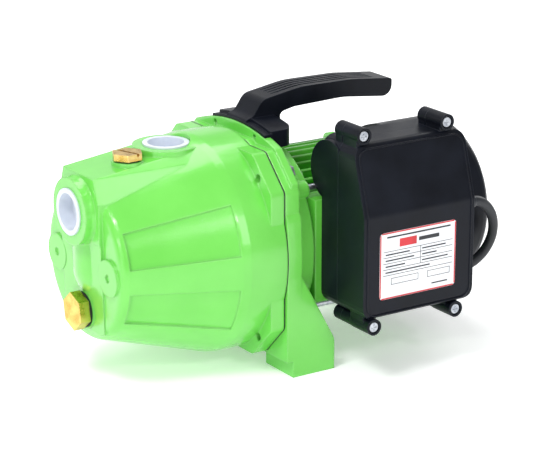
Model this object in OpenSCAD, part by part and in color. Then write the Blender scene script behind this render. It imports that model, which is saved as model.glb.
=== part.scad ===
// Shallow well jet pump: a cast casing with an inner ejector, a bracket with two
// feet, a finned motor, a side terminal box and a one-ended carrying handle.
// Frame: origin on the ground midway between the two foot bolts, +X along the
// shaft from the suction port to the fan, +Z up, the terminal box on the -Y side.

/* [Overall] */
// Height of the shaft above the ground
shaft_height = 88.5; // [86:0.5:110]
// Height of the suction port above the shaft
suction_rise = 39.5; // [37:0.5:42]
// Height of the discharge face above the shaft
discharge_rise = 77.5; // [76:0.5:94]
// Length of the casing from its nose wall to the gasket
casing_length = 119.5; // [112:0.5:145]
// Length of the finned motor housing
motor_length = 104; // [90:1:118]
// Distance between the two foot bolts
foot_spacing = 124; // [118:1:128]

/* [Casing] */
// Radius of the nose edge
nose_r = 55.5; // [54:0.5:60]
// Radius at the back end of the side panels
cone_r = 81; // [78:0.5:81.5]
// Radius of the smooth belt in front of the flange
belt_r = 82; // [81.5:0.5:84]
// Length of the smooth belt
belt_length = 25; // [20:1:30]
// Thickness of the casting
casing_wall = 6; // [5:0.5:7]
// Thickness of the bolted flange
flange_t = 11; // [9:0.5:14]
// Depth of the recessed side panels
panel_depth = 1.8; // [1:0.1:2.4]
// Half width of the flat top
plateau_half = 22; // [20:0.5:26]
// Half width of the raised front band
band_half = 29; // [27:0.5:31]
// Radius of the two front lobes
ear_r = 13.5; // [12:0.5:15]
// Bore radius of the two ports at the thread crest
port_bore_r = 15.15; // [12.6:0.05:16.2]
// Wall of the port bosses around the bore
port_wall = 9.2; // [8:0.2:10]
// Distance from the suction face back to the discharge axis
discharge_setback = 79; // [72:1:84]

/* [Plugs and caps] */
// Depth of a transport cap in its port
cap_depth = 11; // [8:0.5:12]
// Width of a transport cap's rim outside its port
cap_rim = 1.8; // [1.6:0.2:4]
// Width across the flats of the filling plug
fill_flats = 20; // [17:0.5:21]
// Thread radius of the filling plug
fill_thread_r = 6.5; // [5.5:0.1:7.8]
// Width across the flats of the drain plug
drain_flats = 24.5; // [21:0.5:27]
// Thread radius of the drain plug
drain_thread_r = 8; // [6.5:0.1:9.6]

/* [Bracket and motor] */
// Thickness of the bracket plate
bracket_t = 12; // [11:0.5:14]
// Outer half width of the feet
foot_half = 80; // [78:0.5:84]
// Length of the feet along the shaft
foot_length = 36; // [32:1:40]
// Radius of a foot bolt hole
foot_hole_r = 4.5; // [4:0.1:5.4]
// Radius of the shaft in its bearings
shaft_r = 8.5; // [8:0.1:9.5]
// Outer radius of the bearings
bearing_r = 20; // [18:0.5:22]
// Width of a bearing
bearing_w = 12; // [10:0.5:12]
// Outer radius of the cooling fins
fin_r = 58.4; // [56:0.2:60]
// Height of the cooling fins
fin_height = 8; // [6:0.5:9]
// Outer radius of the fan cover
cover_r = 63; // [61:0.5:64]
// Length of the fan cover behind the rear shield
cover_length = 55; // [48:1:60]

/* [Terminal box and handle] */
// Length of the terminal box along the shaft
box_length = 97; // [92:1:104]
// Distance between the cover screws along the shaft
box_screw_spacing = 72.5; // [68:0.5:76]
// Depth of the box from its back to the lower front
box_depth = 53; // [50:1:58]
// Radius of the capacitor bulge
bulge_r = 22.5; // [21.5:0.5:24]
// Wall of the box and its cover
box_wall = 2.5; // [2:0.25:3]
// Reach of the grip past its neck
handle_reach = 100; // [85:1:120]
// Width of the grip
handle_width = 26; // [22:1:30]
// Radius of the power cord
cord_r = 3.8; // [3.6:0.1:4]

/* [Hidden] */
fine = 96;
small = 48;
seat_gap = 0.05;
free_gap = 0.3;
eps = 0.01;

// Paint and material colours
green = [0.50, 0.86, 0.40];
black = [0.11, 0.12, 0.15];
brass = [0.87, 0.76, 0.40];
steel = [0.75, 0.76, 0.78];
white = [0.90, 0.92, 0.95];

// Stations along the shaft
gasket_t = 1;
flange_back = -24;
bracket_front = flange_back + gasket_t;
bracket_back = bracket_front + bracket_t;
nose_x = flange_back - casing_length;
suction_x = nose_x - 10.5;
belt_x = flange_back - flange_t - belt_length;
discharge_x = suction_x + discharge_setback;
suction_z = shaft_height + suction_rise;
discharge_z = shaft_height + discharge_rise;
housing_x = bracket_back + 15;
rear_x = housing_x + motor_length;
rear_shield_t = 12;
cover_x = rear_x + 3;
cover_end = rear_x + rear_shield_t + cover_length;

// Casing stations
block_front = nose_x - 3;
plateau_front_z = suction_z + 27;
plateau_back_x = discharge_x + 2;
plateau_back_z = discharge_z - 1.5;
entry_r = port_bore_r + 0.5;
entry_depth = cap_depth + 0.5;
thread_length = 10.5;
boss_r = port_bore_r + port_wall;
spot_face = 0.3;
spot_r = port_bore_r + cap_rim + 0.45;
duct_front = suction_x + entry_depth + thread_length;
duct_wall = 4.5;
duct_depth = 12.5;
duct_back = duct_front + 2 * duct_wall + duct_depth;
duct_half = 15;
duct_bore_r = port_bore_r - 2;
nozzle_seat_r = 7;
venturi_seat_r = 13;
fill_x = suction_x + 42;
fill_y = -9.5;
fill_seat_z = plateau_front_z + 6.4;
fill_boss_r = fill_flats / 2 + 1.6;
drain_z = shaft_height - 35;
drain_seat_x = nose_x - 1.2;
drain_boss_r = drain_flats * 0.6;
seal_t = 1.6;
fill_seal_t = 1;
hex_to_corner = 1 / cos(30);
ear_y = 37.5;
flange_half_w = 77;
flange_half_h = 75.5;
flange_flat = 78;
chamfer_reach = 127.8;
bolt_y = 60;
bolt_z = 59.5;
bolt_r = 3;

// Bracket and motor stations
arc_top = discharge_z + 8.5;
arc_r = 160;
arc_half = 54;
arc_front = bracket_back - 6;
shoulder_y = 81;
leg_inner = foot_half - 36.3;
leg_front = -foot_length / 2;
leg_back = foot_length / 2;
motor_ring_r = 74;
motor_spigot_r = 65;
bearing_boss_r = bearing_r + 6;
front_bearing_x = housing_x - bearing_w;
rear_bearing_x = rear_x - 4;
seal_pocket_r = 15;
seal_pocket_depth = 7;
seal_shaft_r = shaft_r - 1.5;
hub_shaft_r = shaft_r - 2.5;
thread_shaft_r = shaft_r - 3.5;
core_shaft_r = shaft_r + 1.5;
fan_shaft_r = shaft_r - 1.5;
shaft_bore_r = shaft_r + 1.5;
tie_places = [[-58, 44.5], [-58, -44.5], [62, 38.5], [62, -38.5]];
tie_r = 3;
frame_r = fin_r - fin_height;
stator_r = frame_r - 5;
rotor_r = 26;
air_gap = 0.4;
stack_inset = 26;
stack_x = housing_x + stack_inset;
stack_length = motor_length - 2 * stack_inset;
pad_y = 72;
pad_low = shaft_height - 38;
pad_high = shaft_height + 39.5;
handle_screw_y = 26.8;
handle_screw_z = arc_top - 6.3;

// Impeller stations
impeller_back = bracket_front - 12;
impeller_width = 15;
impeller_front = impeller_back - impeller_width;
impeller_r = 58;
eye_r = 16;
hub_r = 11;
diffuser_front = impeller_front - 8;
diffuser_r = 70;
neck_r = 19;
venturi_r = 14;
venturi_end = diffuser_front - 3;
nut_front = impeller_front - 7;

// Terminal box stations
box_x0 = housing_x + 7.5;
box_x1 = box_x0 + box_length;
box_low = shaft_height - 38.5;
box_high = shaft_height + 87.5;
seam_y = pad_y + 20;
box_front = pad_y + box_depth;
box_top_front = box_front - 15;
slope_z = shaft_height + 38;
bulge_y = pad_y + 8;
bulge_z = shaft_height + 62.5;
lug_x = [box_x0 + 9, box_x0 + 9 + box_screw_spacing];
lug_high = box_high + 5.8;
lug_low = box_low - 5;
lug_r = 6;
screw_r = 2;
gland_y = pad_y + 11;
gland_z = shaft_height + 20;
gland_end = box_x1 + 10;

// ---- shared shapes ----

function corner(a, b, c, n = 5) =
    let (r = len(b) > 2 ? b[2] : 0, p = [b[0], b[1]])
    r == 0 ? [p] :
    let (u = [a[0], a[1]] - p, v = [c[0], c[1]] - p)
    let (un = u / norm(u), vn = v / norm(v), half = acos(un * vn) / 2)
    let (mid = p + (un + vn) / norm(un + vn) * r / sin(half))
    let (s = p + un * r / tan(half) - mid, e = p + vn * r / tan(half) - mid)
    let (start = atan2(s[1], s[0]), turn = (atan2(e[1], e[0]) - start + 540) % 360 - 180)
    [for (i = [0:n]) mid + r * [cos(start + turn * i / n), sin(start + turn * i / n)]];

// An outline whose corners [x, y, radius] are rounded
function rounded(points, n = 5) =
    [for (i = [0:len(points) - 1])
        each corner(points[(i + len(points) - 1) % len(points)], points[i],
                    points[(i + 1) % len(points)], n)];

function box_outline(x0, x1, z0, z1, r) =
    rounded([[x0, z0, r], [x1, z0, r], [x1, z1, r], [x0, z1, r]]);

// Drawn in (y, z) and extruded along +X
module across(x, t) translate([x, 0, 0]) rotate([90, 0, 90]) linear_extrude(t) children();

// Drawn in (x, z) and extruded from y to y + t
module sideways(y, t) translate([0, y + t, 0]) rotate([90, 0, 0]) linear_extrude(t) children();

module on_shaft(x, y = 0, z = 0)
    translate([x, y, shaft_height + z]) rotate([0, 90, 0]) children();

module disc(x, t, r) on_shaft(x) cylinder(h = t, r = r, $fn = fine);

module ring(x, t, r, bore) difference() {
    disc(x, t, r);
    disc(x - 1, t + 2, bore);
}

// A profile of [radius, x, corner radius] turned about the shaft
module turned(points)
    on_shaft(0) rotate_extrude($fn = fine) polygon(rounded(points, 4));

module rod(x, t, r, y, z) on_shaft(x, y, z) cylinder(h = t, r = r, $fn = small);

module hex_rod(x, t, flats, y, z)
    on_shaft(x, y, z) rotate(30) cylinder(h = t, r = flats / 2 * hex_to_corner, $fn = 6);

// A round bar along Y from y to y + t
module peg(x, z, r, y, t)
    translate([x, y + t, z]) rotate([90, 0, 0]) cylinder(h = t, r = r, $fn = small);

// Frames along a path, with the section kept upright
function unit(v) = v / norm(v);
function tangent(path, i) =
    unit(path[min(i + 1, len(path) - 1)] - path[max(i - 1, 0)]);
function side_of(t) = abs(t[2]) > 0.9 ? unit(cross([0, 1, 0], t)) : unit(cross([0, 0, 1], t));
function carried(path, i, last) =
    let (t = tangent(path, i), s = last - (last * t) * t)
    i == len(path) - 1 ? [unit(s)] : concat([unit(s)], carried(path, i + 1, unit(s)));

// A round bar of radius r swept along a path, with n flats
module tube(path, r, n) {
    sides = carried(path, 0, side_of(tangent(path, 0)));
    points = [for (i = [0:len(path) - 1]) let (s = sides[i], u = cross(tangent(path, i), s))
        for (j = [0:n - 1]) path[i] + r * (cos(360 * j / n) * s + sin(360 * j / n) * u)];
    last = (len(path) - 1) * n;
    skin = [for (i = [0:len(path) - 2]) for (j = [0:n - 1])
        [i * n + j, i * n + (j + 1) % n, (i + 1) * n + (j + 1) % n, (i + 1) * n + j]];
    polyhedron(points, concat([[for (j = [n - 1:-1:0]) j]], skin,
        [[for (j = [0:n - 1]) last + j]]));
}

// ---- pump casing ----

function cone_at(x) = nose_r + (cone_r - nose_r) * (x - nose_x) / (belt_x - nose_x);

function shoulder_z(x, y, inset = 0) =
    shaft_height + sqrt(pow(min(cone_at(x), belt_r) - inset, 2) - y * y) - 0.6;

module flange_outline() {
    translate([0, shaft_height]) {
        intersection() {
            circle(r = belt_r - 0.5, $fn = fine);
            square([2 * belt_r, 2 * flange_flat], center = true);
        }
        w = flange_half_w;
        h = flange_half_h;
        c = chamfer_reach;
        polygon(rounded([
            [w, c - w, 6], [c - h, h, 6], [h - c, h, 6], [-w, c - w, 6],
            [-w, w - c, 6], [h - c, -h, 6], [c - h, -h, 6], [w, w - c, 6]
        ]));
    }
}

module block_section(x, half, top, low_half, low_z)
    across(x, 0.02) polygon([
        [-half, top], [half, top], [low_half, low_z],
        [low_half, shaft_height + 20], [-low_half, shaft_height + 20], [-low_half, low_z]
    ]);

// The sloping flat top with its flared sides, shrunk by inset for the hollow
module block(inset) {
    front = [block_front + inset, plateau_half - inset, plateau_front_z - inset,
             band_half - inset, suction_z + 8 - inset];
    middle = [plateau_back_x, plateau_half - inset, plateau_back_z - inset,
              plateau_half + 10 - inset, shoulder_z(plateau_back_x, plateau_half + 10, inset)];
    back = [flange_back - 1, plateau_half - inset, discharge_z - inset,
            plateau_half + 14 - inset, shoulder_z(belt_x, plateau_half + 14, inset)];
    hull() {
        block_section(front[0], front[1], front[2], front[3], front[4]);
        block_section(middle[0], middle[1], middle[2], middle[3], middle[4]);
    }
    hull() {
        block_section(middle[0], middle[1], middle[2], middle[3], middle[4]);
        block_section(back[0], back[1], back[2], back[3], back[4]);
    }
}

module casing_shell()
    turned([
        [0, nose_x, 0], [nose_r, nose_x, 7], [cone_r, belt_x, 12], [belt_r, belt_x + 6, 6],
        [belt_r, flange_back, 0], [0, flange_back, 0]
    ]);

module front_band() intersection() {
    sideways(-band_half, 2 * band_half) polygon([
        [block_front, suction_z + 10], [nose_x - 0.4, shaft_height - 48],
        [nose_x + 2, shaft_height - 60], [nose_x + 2, suction_z + 10]
    ]);
    union() {
        disc(block_front - 1, 8, nose_r - 1);
        translate([block_front - 1, -band_half - 1, shaft_height])
            cube([10, 2 * band_half + 2, suction_rise + 20]);
    }
}

module ears() for (side = [-1, 1]) rod(nose_x - 2, 4, ear_r, side * ear_y, -1.5);

module front_rib() {
    rib_r = 28;
    rib_x = block_front - 2.5 + rib_r;
    translate([rib_x, 0, drain_z + 29]) cylinder(h = suction_rise + 2, r = rib_r, $fn = small);
    translate([rib_x, 0, drain_z + 29]) sphere(r = rib_r, $fn = small);
}

module side_panels() for (side = [0, 1]) mirror([0, side, 0])
    for (span = [[55.5, 82], [100, 126]])
        on_shaft(0) rotate(90 + span[0]) rotate([0, 0, 90])
            rotate_extrude(angle = span[1] - span[0], $fn = fine) polygon([
                [cone_at(nose_x + 6) - panel_depth, nose_x + 6],
                [cone_at(nose_x + 6) + 8, nose_x + 6],
                [cone_at(belt_x) + 8, belt_x - 1.5],
                [cone_at(belt_x) - panel_depth, belt_x - 1.5]
            ]);

module port(depth) {
    translate([0, 0, -1]) cylinder(h = entry_depth + 1, r = entry_r, $fn = fine);
    cylinder(h = entry_depth + thread_length, r = port_bore_r, $fn = fine);
    cylinder(h = depth, r = duct_bore_r, $fn = fine);
}

module casing_inside() {
    wall = casing_wall;
    turned([
        [0, nose_x + wall, 0], [nose_r - wall, nose_x + wall, 5], [cone_r - wall, belt_x, 10],
        [belt_r - wall, belt_x + 6, 0], [belt_r - wall, flange_back + 1, 0],
        [0, flange_back + 1, 0]
    ]);
    block(wall);
}

module casing_inner_walls() {
    wall = duct_wall;
    translate([duct_front, -duct_half - wall, shaft_height - 26])
        cube([duct_back - duct_front, 2 * (duct_half + wall), suction_rise + 26 + 28.6]);
    on_shaft(nose_x + 1, 0, suction_rise)
        cylinder(h = duct_front - nose_x, r = port_bore_r + 4, $fn = fine);
    intersection() {
        translate([discharge_x, 0, discharge_z - entry_depth - thread_length])
            cylinder(h = entry_depth + thread_length - 2, r = port_bore_r + 4.5, $fn = fine);
        translate([discharge_x - 40, -40, 0]) cube([diffuser_front - 0.6 - discharge_x + 40, 80, 300]);
    }
    on_shaft(nose_x + 1, 0, drain_z - shaft_height)
        cylinder(h = casing_wall + 4, r = drain_thread_r + 4, $fn = small);
}

module pump_casing() color(green) difference() {
    union() {
        difference() {
            union() {
                casing_shell();
                across(flange_back - flange_t, flange_t) flange_outline();
                block(0);
                front_band();
                ears();
                front_rib();
                on_shaft(suction_x, 0, suction_rise)
                    cylinder(h = nose_x + 3 - suction_x, r = boss_r, $fn = fine);
                on_shaft(suction_x + 5, 0, suction_rise)
                    cylinder(h = 6, r1 = boss_r, r2 = boss_r + 2.2, $fn = fine);
                translate([discharge_x, 0, discharge_z - 16])
                    cylinder(h = 16, r = boss_r, $fn = fine);
                translate([fill_x, fill_y, fill_seat_z - 8])
                    cylinder(h = 8, r = fill_boss_r, $fn = small);
                on_shaft(drain_seat_x, 0, drain_z - shaft_height)
                    cylinder(h = 4, r = drain_boss_r, $fn = small);
            }
            casing_inside();
        }
        casing_inner_walls();
    }
    side_panels();
    on_shaft(suction_x, 0, suction_rise) port(duct_front + 6 - suction_x);
    translate([discharge_x, 0, discharge_z]) mirror([0, 0, 1]) port(entry_depth + thread_length + 1);
    translate([discharge_x, 0, discharge_z - spot_face]) cylinder(h = 12, r = spot_r, $fn = fine);
    translate([duct_front + duct_wall, -duct_half, shaft_height - 26 + duct_wall])
        cube([duct_depth, 2 * duct_half, suction_rise + 26 + 18 - duct_wall]);
    rod(duct_front - 1, duct_wall + 2, nozzle_seat_r, 0, 0);
    rod(duct_back - duct_wall - 1, duct_wall + 2, venturi_seat_r, 0, 0);
    translate([fill_x, fill_y, fill_seat_z - 16])
        cylinder(h = 20, r = fill_thread_r + seat_gap, $fn = small);
    rod(drain_seat_x - 2, casing_wall + 12, drain_thread_r + seat_gap, 0, drain_z - shaft_height);
    for (side = [-1, 1]) rod(nose_x - 4, 3.2, 3, side * ear_y, -1.5);
    for (y = [-bolt_y, bolt_y]) for (z = [-bolt_z, bolt_z])
        rod(flange_back - flange_t - 1, flange_t + 2, bolt_r, y, z);
}

module cap() {
    difference() {
        union() {
            translate([0, 0, -1.5]) cylinder(h = 1.5, r = port_bore_r + cap_rim, $fn = fine);
            cylinder(h = cap_depth, r = entry_r - 0.08, $fn = fine);
        }
        translate([0, 0, -2]) cylinder(h = cap_depth + 0.5, r = entry_r - 2.3, $fn = fine);
    }
}

module suction_cap() color(white) on_shaft(suction_x, 0, suction_rise) cap();

module discharge_cap() color(white)
    translate([discharge_x, 0, discharge_z - spot_face]) mirror([0, 0, 1]) cap();

// A hexagon-headed plug with its seat at z = 0 and its seal under the head
module plug(flats, thread_r, head, length, seal) {
    translate([0, 0, seal]) cylinder(h = head, r = flats / 2 * hex_to_corner, $fn = 6);
    translate([0, 0, -length]) cylinder(h = length + seal + 1, r = thread_r, $fn = small);
}

module plug_seal(thread_r, r, seal) difference() {
    cylinder(h = seal, r = r, $fn = small);
    translate([0, 0, -1]) cylinder(h = seal + 2, r = thread_r + seat_gap, $fn = small);
}

module at_filling() translate([fill_x, fill_y, fill_seat_z]) children();

module filling_plug() color(brass) at_filling() difference() {
    head = 5;
    rotate(5.5) plug(fill_flats, fill_thread_r, head, 9, fill_seal_t);
    rotate(-70) translate([-fill_flats, -1, fill_seal_t + head - 2]) cube([2 * fill_flats, 2, 3]);
}

module filling_plug_seal() color(black)
    at_filling() plug_seal(fill_thread_r, fill_flats / 2 - 0.5, fill_seal_t);

module at_drain() translate([drain_seat_x, 0, drain_z]) rotate([0, -90, 0]) children();

module drain_plug() color(brass)
    at_drain() rotate(10) plug(drain_flats, drain_thread_r, 8, 9, seal_t);

module drain_plug_seal() color(black)
    at_drain() plug_seal(drain_thread_r, drain_flats / 2 + 0.8, seal_t);

module casing_gasket() color(black) difference() {
    across(flange_back, gasket_t) flange_outline();
    disc(flange_back - 1, gasket_t + 2, diffuser_r + 2);
    for (y = [-bolt_y, bolt_y]) for (z = [-bolt_z, bolt_z])
        rod(flange_back - 1, gasket_t + 2, bolt_r + 0.3, y, z);
}

// ---- ejector ----

module nozzle() color(brass) turned([
    [3.2, duct_front + duct_wall + 9, 0], [4.6, duct_front + duct_wall + 9, 0],
    [nozzle_seat_r + 2, duct_front + duct_wall, 0], [nozzle_seat_r, duct_front + duct_wall, 0],
    [nozzle_seat_r, duct_front, 0], [nozzle_seat_r + 3, duct_front, 0],
    [nozzle_seat_r + 3, duct_front - 2.5, 0], [5.2, duct_front - 2.5, 0]
]);

module venturi_tube() color([0.2, 0.2, 0.22]) turned([
    [9, duct_back - duct_wall - 1, 0], [venturi_seat_r, duct_back - duct_wall - 1, 0],
    [venturi_seat_r, duct_back, 0], [venturi_seat_r + 3, duct_back, 0],
    [venturi_seat_r + 3, duct_back + 2, 0], [10, duct_back + 4, 0],
    [venturi_r, duct_back + 14, 0], [venturi_r, venturi_end, 0], [11, venturi_end, 0],
    [5.5, duct_back + 12, 0], [5.5, duct_back + 3, 0]
]);

module venturi_seal() color(black)
    ring(diffuser_front - 9.5, 2.5, neck_r - 2.5, venturi_r);

module diffuser() color([0.85, 0.84, 0.78]) difference() {
    union() {
        ring(diffuser_front, 4, diffuser_r, venturi_r + 0.05);
        ring(diffuser_front - 12, 12.5, neck_r, venturi_r + 0.05);
        ring(diffuser_front, bracket_front - diffuser_front, diffuser_r, diffuser_r - 3.5);
        for (i = [0:6]) on_shaft(diffuser_front + 3.5) rotate(i * 360 / 7)
            translate([impeller_r + 2.5, 0, 0]) rotate(-35) translate([0, -1, 0])
                cube([8.5, 2, 12]);
    }
    disc(diffuser_front - 10, 3.5, neck_r - 2.5);
    disc(diffuser_front - 6.5, 12, eye_r);
    for (i = [0:6]) on_shaft(diffuser_front + 14) rotate(i * 360 / 7)
        translate([diffuser_r - 8, -9, 0]) cube([12, 18, 14]);
}

// ---- turning parts ----

function vane(side) = [for (i = [0:8])
    let (r = 15 + (impeller_r - 1.5 - 15) * i / 8, a = -95 * i / 8 + side * 60 * 1.2 / r)
    r * [cos(a), sin(a)]];

module impeller() color(brass) difference() {
    union() {
        ring(impeller_back - 3, 3, impeller_r, hub_r - 1);
        ring(impeller_front, 3, impeller_r, eye_r);
        disc(impeller_front, impeller_width, hub_r);
        for (i = [0:5]) on_shaft(impeller_front + 2) rotate(i * 60)
            linear_extrude(impeller_width - 4)
                polygon(concat(vane(-1), [for (p = [8:-1:0]) vane(1)[p]]));
    }
    disc(impeller_front - 1, impeller_width + 2, hub_shaft_r + 0.02);
    translate([impeller_front - 1, -1.5, shaft_height]) cube([impeller_width + 2, 3, hub_shaft_r + 2]);
}

module impeller_key() color(steel)
    translate([impeller_front + 1, -1.5, shaft_height + hub_shaft_r - 2])
        cube([impeller_width - 2, 3, 4]);

module impeller_nut() color(brass) difference() {
    hex_rod(nut_front, 7, 16, 0, 0);
    disc(nut_front - 1, 9, thread_shaft_r + 0.02);
}

module seal_seat() color([0.92, 0.90, 0.84])
    ring(bracket_front, seal_pocket_depth, seal_pocket_r, seal_shaft_r + 1.5);

module seal_ring() color([0.15, 0.15, 0.16])
    ring(bracket_front - 5.05, 5, seal_pocket_r - 1, seal_shaft_r);

module seal_spring() color(steel) {
    turns = 4;
    wire = 0.8;
    first = impeller_back + wire;
    last = bracket_front - 5.1 - wire;
    tube([for (i = [0:turns * 12]) [
        first + (last - first) * i / (turns * 12),
        (seal_shaft_r + 2.5) * cos(i * 30),
        shaft_height + (seal_shaft_r + 2.5) * sin(i * 30)
    ]], wire, 8);
}

module slinger() color(black)
    ring(bracket_front + seal_pocket_depth + 1.2, 2, seal_pocket_r - 3.5, seal_shaft_r);

module shaft() color(steel) difference() {
    turned([
        [0, nut_front - 1.5, 0], [thread_shaft_r, nut_front - 1.5, 1],
        [thread_shaft_r, impeller_front, 0], [hub_shaft_r, impeller_front, 0],
        [hub_shaft_r, impeller_back, 0], [seal_shaft_r, impeller_back, 0],
        [seal_shaft_r, front_bearing_x, 0], [shaft_r, front_bearing_x, 0],
        [shaft_r, housing_x, 0], [core_shaft_r, housing_x, 0],
        [core_shaft_r, rear_bearing_x, 0], [shaft_r, rear_bearing_x, 0],
        [shaft_r, rear_bearing_x + bearing_w, 0], [fan_shaft_r, rear_bearing_x + bearing_w, 0],
        [fan_shaft_r, cover_end - 22, 1], [0, cover_end - 22, 0]
    ]);
    translate([impeller_front + 1, -1.5, shaft_height + hub_shaft_r - 2])
        cube([impeller_width - 2, 3, 4]);
}

module rotor_core() color([0.55, 0.56, 0.58]) {
    ring(stack_x, stack_length, rotor_r, core_shaft_r);
    ring(stack_x - 5, 5.01, rotor_r - 2.5, core_shaft_r + 4);
    ring(stack_x + stack_length - 0.01, 5.01, rotor_r - 2.5, core_shaft_r + 4);
}

ball_r = (bearing_r - shaft_r) * 0.26;
ball_path_r = (bearing_r + shaft_r) / 2;
race_gap = 0.06;
bearing_starts = [front_bearing_x, rear_bearing_x];

module groove(x) on_shaft(x + bearing_w / 2) rotate_extrude($fn = fine)
    translate([ball_path_r, 0]) circle(r = ball_r + race_gap, $fn = small);

module bearing_outer_rings() color(steel) for (x = bearing_starts) difference() {
    ring(x, bearing_w, bearing_r, ball_path_r + ball_r * 0.55);
    groove(x);
}

module bearing_inner_rings() color(steel) for (x = bearing_starts) difference() {
    ring(x, bearing_w, ball_path_r - ball_r * 0.55, shaft_r);
    groove(x);
}

module bearing_balls() color([0.82, 0.83, 0.85]) for (x = bearing_starts) {
    for (i = [0:7]) on_shaft(x + bearing_w / 2) rotate(i * 45)
        translate([ball_path_r, 0, 0]) sphere(r = ball_r, $fn = small);
    ring(x + bearing_w / 2 - 0.6, 1.2, ball_path_r + 0.9, ball_path_r - 0.9);
}

module preload_washer() color(steel)
    ring(rear_bearing_x + bearing_w, 1.5, bearing_r - 0.2, bearing_r - 4);

// ---- bracket ----

function arc_z(y) = arc_top - arc_r + sqrt(arc_r * arc_r - y * y);

module arc_outline() {
    n = 18;
    polygon(concat(
        [for (i = [0:n]) let (y = -arc_half + 2 * arc_half * i / n) [y, arc_z(y)]],
        rounded([[shoulder_y - 5.5, arc_z(arc_half) - 21], [shoulder_y - 5.5, shaft_height + 40],
                 [5.5 - shoulder_y, shaft_height + 40], [5.5 - shoulder_y, arc_z(arc_half) - 21]])
    ));
}

module plate_outline() {
    flange_outline();
    polygon(rounded([
        [shoulder_y - 2, shaft_height + 38, 10], [shoulder_y, shaft_height + 8, 30],
        [foot_half, shaft_height - 30, 20], [foot_half, 12, 0], [leg_inner, 12, 0],
        [leg_inner - 4, 16, 6], [-leg_inner + 4, 16, 6], [-leg_inner, 12, 0], [-foot_half, 12, 0],
        [-foot_half, shaft_height - 30, 20], [-shoulder_y, shaft_height + 8, 30],
        [-shoulder_y + 2, shaft_height + 38, 10]
    ]));
}

module leg() {
    wall = 7;
    translate([leg_front, leg_inner, 0]) cube([bracket_back - leg_front, foot_half - leg_inner, 40]);
    sideways(foot_half - wall, wall) polygon(rounded([
        [leg_front, 0, 0], [leg_back, 0, 0], [leg_back, 23.5, 12],
        [bracket_back - 0.5, shaft_height - 11, 0], [leg_front, shaft_height - 11, 0]
    ]));
    translate([leg_front, leg_inner, 0]) cube([foot_length, foot_half - leg_inner, 10]);
}

module bracket() color(green) difference() {
    union() {
        across(bracket_front, bracket_t) plate_outline();
        across(arc_front, bracket_back - arc_front) arc_outline();
        leg();
        mirror([0, 1, 0]) leg();
        disc(bracket_back - 1, housing_x - bracket_back + 1, motor_ring_r);
        for (p = tie_places)
            rod(bracket_back - 1, housing_x - bracket_back + 3, tie_r + 3.5, p[0], p[1]);
    }
    ring(bracket_back, housing_x - bracket_back + 1, motor_spigot_r, bearing_boss_r);
    disc(bracket_front - 1, seal_pocket_depth + 1, seal_pocket_r);
    disc(bracket_front + seal_pocket_depth - 1, 6.5, seal_pocket_r - 1.5);
    disc(bracket_front, housing_x - bracket_front, shaft_bore_r);
    disc(front_bearing_x, bearing_w + 1, bearing_r);
    for (y = [-bolt_y, bolt_y]) for (z = [-bolt_z, bolt_z])
        rod(bracket_front - 1, bracket_t + 2, bolt_r + 0.3, y, z);
    for (p = tie_places) rod(bracket_back + 2, housing_x - bracket_back + 2, tie_r, p[0], p[1]);
    for (y = [-handle_screw_y, handle_screw_y])
        rod(arc_front - 1, bracket_back - arc_front + 2, screw_r, y, handle_screw_z - shaft_height);
    for (y = [-foot_spacing / 2, foot_spacing / 2])
        translate([0, y, -1]) cylinder(h = 12, r = foot_hole_r, $fn = small);
}

module casing_bolts() color(steel) for (y = [-bolt_y, bolt_y]) for (z = [-bolt_z, bolt_z]) {
    hex_rod(bracket_back, 4, 10, y, z);
    rod(flange_back - flange_t + 4, bracket_back - flange_back + flange_t - 3.9, bolt_r, y, z);
}

// ---- motor ----

module motor_housing() color(green) difference() {
    union() {
        disc(housing_x, motor_length, frame_r);
        ring(housing_x, 7, motor_spigot_r + 6, frame_r - 1);
        ring(rear_x - 7, 7, fin_r + 1, frame_r - 1);
        for (i = [0:45]) on_shaft(housing_x + 16) rotate(i * 8 + 4)
            translate([frame_r - 2, -1, 0]) cube([fin_height + 2, 2, motor_length - 20]);
        translate([housing_x + 2, -pad_y, pad_low])
            cube([motor_length - 8, pad_y - frame_r + 20, pad_high - pad_low]);
    }
    disc(housing_x - 1, motor_length + 2, stator_r);
    for (p = tie_places) rod(housing_x - 1, motor_length + 2, tie_r + 4, p[0], p[1]);
    for (x = [box_x0 + 20, box_x1 - 20]) for (z = [pad_low + 14, pad_high - 14])
        peg(x, z, screw_r, -pad_y - 1, 12);
}

module stator_core() color([0.45, 0.46, 0.5])
    ring(stack_x, stack_length, stator_r, rotor_r + air_gap);

module windings() color([0.75, 0.35, 0.15]) for (end = [0, 1])
    turned([
        [rotor_r + 5, stack_x - 14 + end * (stack_length + 14), 4],
        [stator_r - 3, stack_x - 14 + end * (stack_length + 14), 4],
        [stator_r - 3, stack_x + end * (stack_length + 14), 4 * end],
        [rotor_r + 5, stack_x + end * (stack_length + 14), 4 * end]
    ]);

module rear_shield() color(green) difference() {
    union() {
        disc(rear_x, 8, fin_r);
        disc(rear_x, rear_shield_t, cover_r - 3);
        disc(rear_x - 6, 8, bearing_boss_r);
        for (p = tie_places) {
            rod(rear_x, 6, tie_r + 3.5, p[0], p[1]);
            on_shaft(rear_x) rotate(atan2(p[0], -p[1])) translate([40, -5, 0]) cube([33, 10, 6]);
        }
    }
    disc(rear_x - 7, 17 - 0.4, bearing_r);
    disc(rear_x, rear_shield_t + 1, shaft_bore_r);
    for (p = tie_places) rod(rear_x - 1, 8, tie_r + 0.2, p[0], p[1]);
    for (a = [58, 122, 238, 302]) on_shaft(rear_x + 10) rotate(a) rotate([0, 90, 0])
        translate([0, 0, cover_r - 9]) cylinder(h = 10, r = 1.5, $fn = small);
}

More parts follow.
